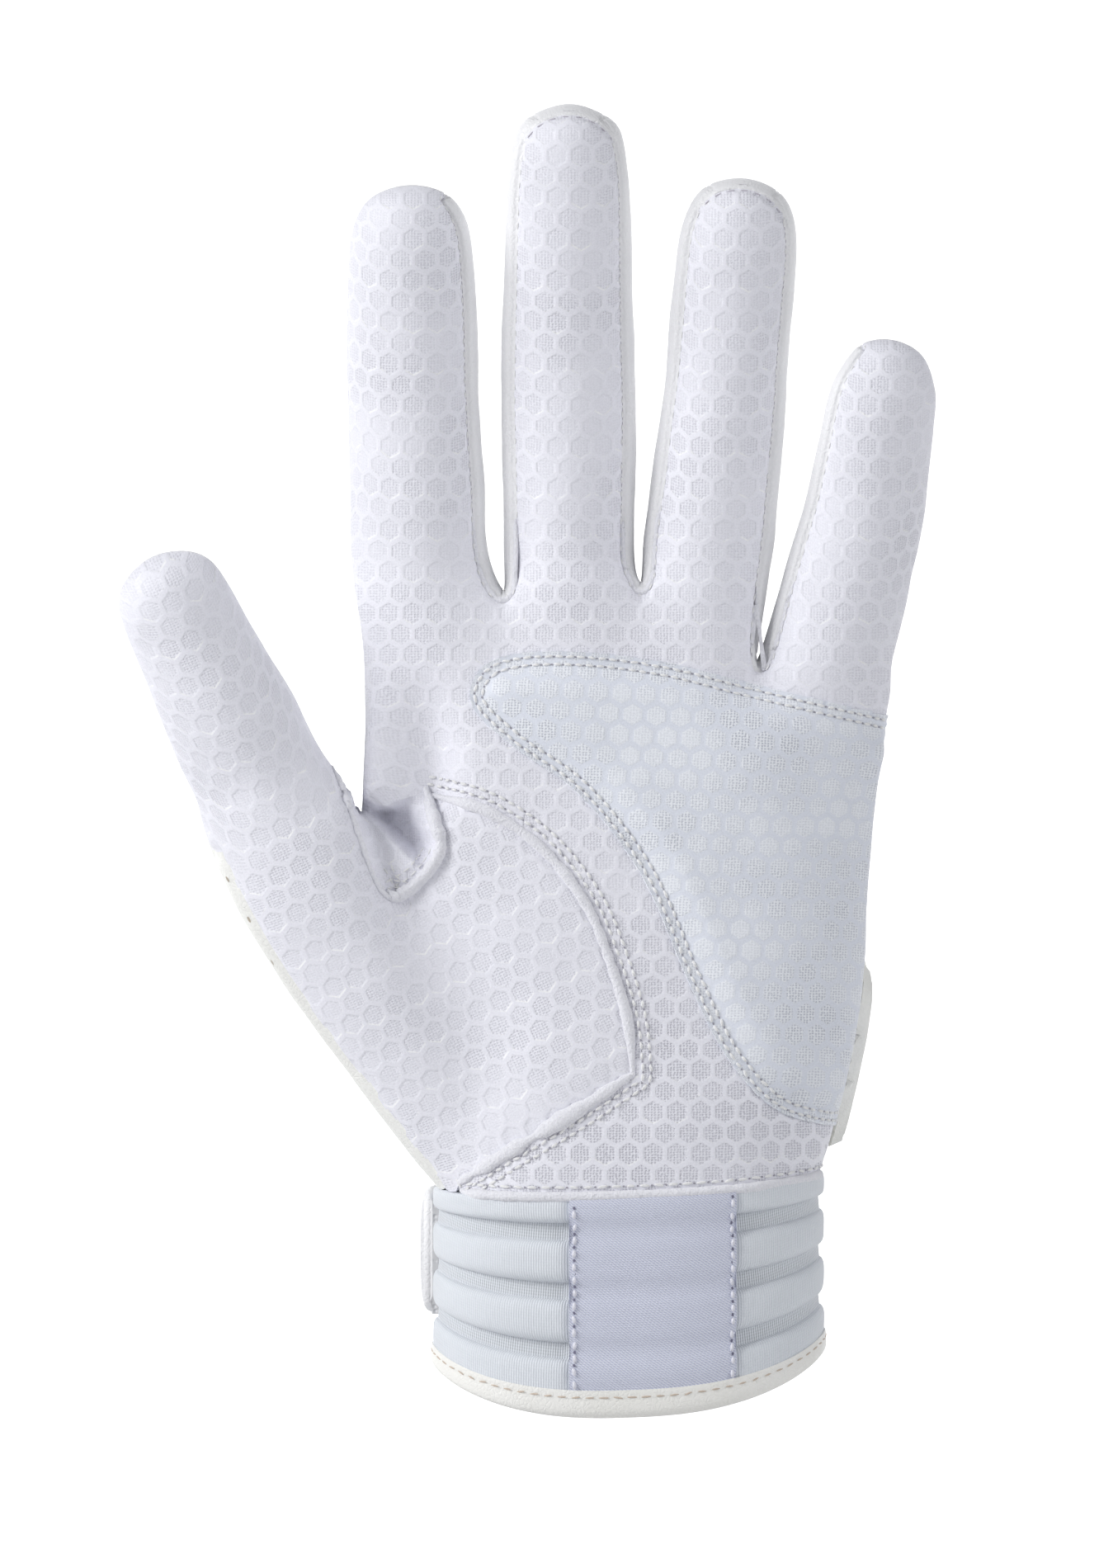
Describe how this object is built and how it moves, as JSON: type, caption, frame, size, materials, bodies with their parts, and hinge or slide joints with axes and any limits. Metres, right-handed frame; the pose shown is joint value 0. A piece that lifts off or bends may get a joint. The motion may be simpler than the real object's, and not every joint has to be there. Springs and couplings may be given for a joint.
{
  "type": "batting glove",
  "caption": "Left-hand batting glove with a hex-knit palm, padded palm overlay, leather fourchettes and back, flexing finger and thumb stalls, quilted cuff and hook-and-loop wrist strap.",
  "frame": {"origin": "middle of the wrist opening, level with the cuff's rim at its sides", "axes": "+Z towards the fingertips, +Y towards the back of the hand, +X towards the little finger"},
  "size_m": [0.1327, 0.0451, 0.2137],
  "materials": {
    "hex_mesh": "matt knit with a raised hexagon pattern",
    "pad_mesh": "matt knit with a raised hexagon pattern, faintly blue-grey",
    "leather": "smooth soft leather",
    "foam": "matt foam",
    "cuff_knit": "fine ribbed knit",
    "twill": "woven twill",
    "binding": "smooth folded binding",
    "hook_tape": "matt hook-and-loop tape"
  },
  "bodies": {
    "palm": {"palm_panel": "hex_mesh", "thumb_panel": "hex_mesh", "web_gusset": "hex_mesh", "palm_pad_foam": "foam", "palm_pad": "pad_mesh", "back_panel": "leather", "side_guard": "leather", "index_middle_fourchette_fold": "leather", "middle_ring_fourchette_fold": "leather", "ring_little_fourchette_fold": "leather", "index_root_crease": "hex_mesh", "middle_root_crease": "hex_mesh", "ring_root_crease": "hex_mesh", "little_root_crease": "hex_mesh", "thumb_crease": "hex_mesh", "cuff_band": "cuff_knit", "rim_binding": "binding", "wrist_label": "twill", "wrist_gusset": "cuff_knit", "loop_tape": "hook_tape"},
    "index_lower": {"index_lower_front": "hex_mesh", "index_lower_fourchette_little_side": "leather", "index_lower_back": "leather", "index_middle_crease": "hex_mesh"},
    "index_upper": {"index_upper_front": "hex_mesh", "index_upper_fourchette_little_side": "leather", "index_upper_back": "leather"},
    "middle_lower": {"middle_lower_front": "hex_mesh", "middle_lower_fourchette_little_side": "leather", "middle_lower_back": "leather", "middle_lower_fourchette_thumb_side": "leather", "middle_middle_crease": "hex_mesh"},
    "middle_upper": {"middle_upper_front": "hex_mesh", "middle_upper_fourchette_little_side": "leather", "middle_upper_back": "leather", "middle_upper_fourchette_thumb_side": "leather"},
    "ring_lower": {"ring_lower_front": "hex_mesh", "ring_lower_fourchette_little_side": "leather", "ring_lower_back": "leather", "ring_lower_fourchette_thumb_side": "leather", "ring_middle_crease": "hex_mesh"},
    "ring_upper": {"ring_upper_front": "hex_mesh", "ring_upper_fourchette_little_side": "leather", "ring_upper_back": "leather", "ring_upper_fourchette_thumb_side": "leather"},
    "little_lower": {"little_lower_front": "hex_mesh", "little_lower_back": "leather", "little_lower_fourchette_thumb_side": "leather", "little_middle_crease": "hex_mesh"},
    "little_upper": {"little_upper_front": "hex_mesh", "little_upper_back": "leather", "little_upper_fourchette_thumb_side": "leather"},
    "thumb_tip": {"thumb_upper_front": "hex_mesh", "thumb_upper_back": "leather"},
    "strap": {"hook_tape": "hook_tape", "wrist_strap": "leather", "pull_tab": "leather"}
  },
  "joints": [
    {"name": "index_root_flex", "type": "hinge", "parent": "palm", "child": "index_lower", "pos_m": [-0.03429, -0.0055, 0.13481], "axis": [0.9986, 0, 0.0523], "range_deg": [0, 80], "stiffness_Nm_per_rad": 0.02, "deforming": ["index_root_crease"]},
    {"name": "index_middle_flex", "type": "hinge", "parent": "index_lower", "child": "index_upper", "pos_m": [-0.03546, -0.00552, 0.15651], "axis": [1, 0, 0.0087], "range_deg": [0, 82], "stiffness_Nm_per_rad": 0.015, "deforming": ["index_middle_crease"]},
    {"name": "middle_root_flex", "type": "hinge", "parent": "palm", "child": "middle_lower", "pos_m": [-0.0098, -0.00495, 0.1355], "axis": [1, 0, 0], "range_deg": [0, 80], "stiffness_Nm_per_rad": 0.02, "deforming": ["middle_root_crease"]},
    {"name": "middle_middle_flex", "type": "hinge", "parent": "middle_lower", "child": "middle_upper", "pos_m": [-0.0098, -0.00497, 0.1588], "axis": [1, 0, 0], "range_deg": [0, 82], "stiffness_Nm_per_rad": 0.015, "deforming": ["middle_middle_crease"]},
    {"name": "ring_root_flex", "type": "hinge", "parent": "palm", "child": "ring_lower", "pos_m": [0.01338, -0.0049, 0.13552], "axis": [0.9945, 0, -0.1045], "range_deg": [0, 80], "stiffness_Nm_per_rad": 0.02, "deforming": ["ring_root_crease"]},
    {"name": "ring_middle_flex", "type": "hinge", "parent": "ring_lower", "child": "ring_upper", "pos_m": [0.01568, -0.00483, 0.15726], "axis": [0.9962, 0, -0.0872], "range_deg": [0, 82], "stiffness_Nm_per_rad": 0.015, "deforming": ["ring_middle_crease"]},
    {"name": "little_root_flex", "type": "hinge", "parent": "palm", "child": "little_lower", "pos_m": [0.03406, -0.0053, 0.12135], "axis": [0.9681, 0, -0.2504], "range_deg": [0, 80], "stiffness_Nm_per_rad": 0.02, "deforming": ["little_root_crease"]},
    {"name": "little_middle_flex", "type": "hinge", "parent": "little_lower", "child": "little_upper", "pos_m": [0.03869, -0.00511, 0.13902], "axis": [0.9877, 0, -0.1564], "range_deg": [0, 82], "stiffness_Nm_per_rad": 0.015, "deforming": ["little_middle_crease"]},
    {"name": "thumb_flex", "type": "hinge", "parent": "palm", "child": "thumb_tip", "pos_m": [-0.06223, -0.0134, 0.09923], "axis": [0.9003, 0, 0.4352], "range_deg": [0, 70], "stiffness_Nm_per_rad": 0.02, "deforming": ["thumb_crease"]},
    {"name": "strap_open", "type": "hinge", "parent": "palm", "child": "strap", "pos_m": [0.02726, 0.0136, 0.01855], "axis": [0, 0, -1], "range_deg": [0, 100]}
  ]
}
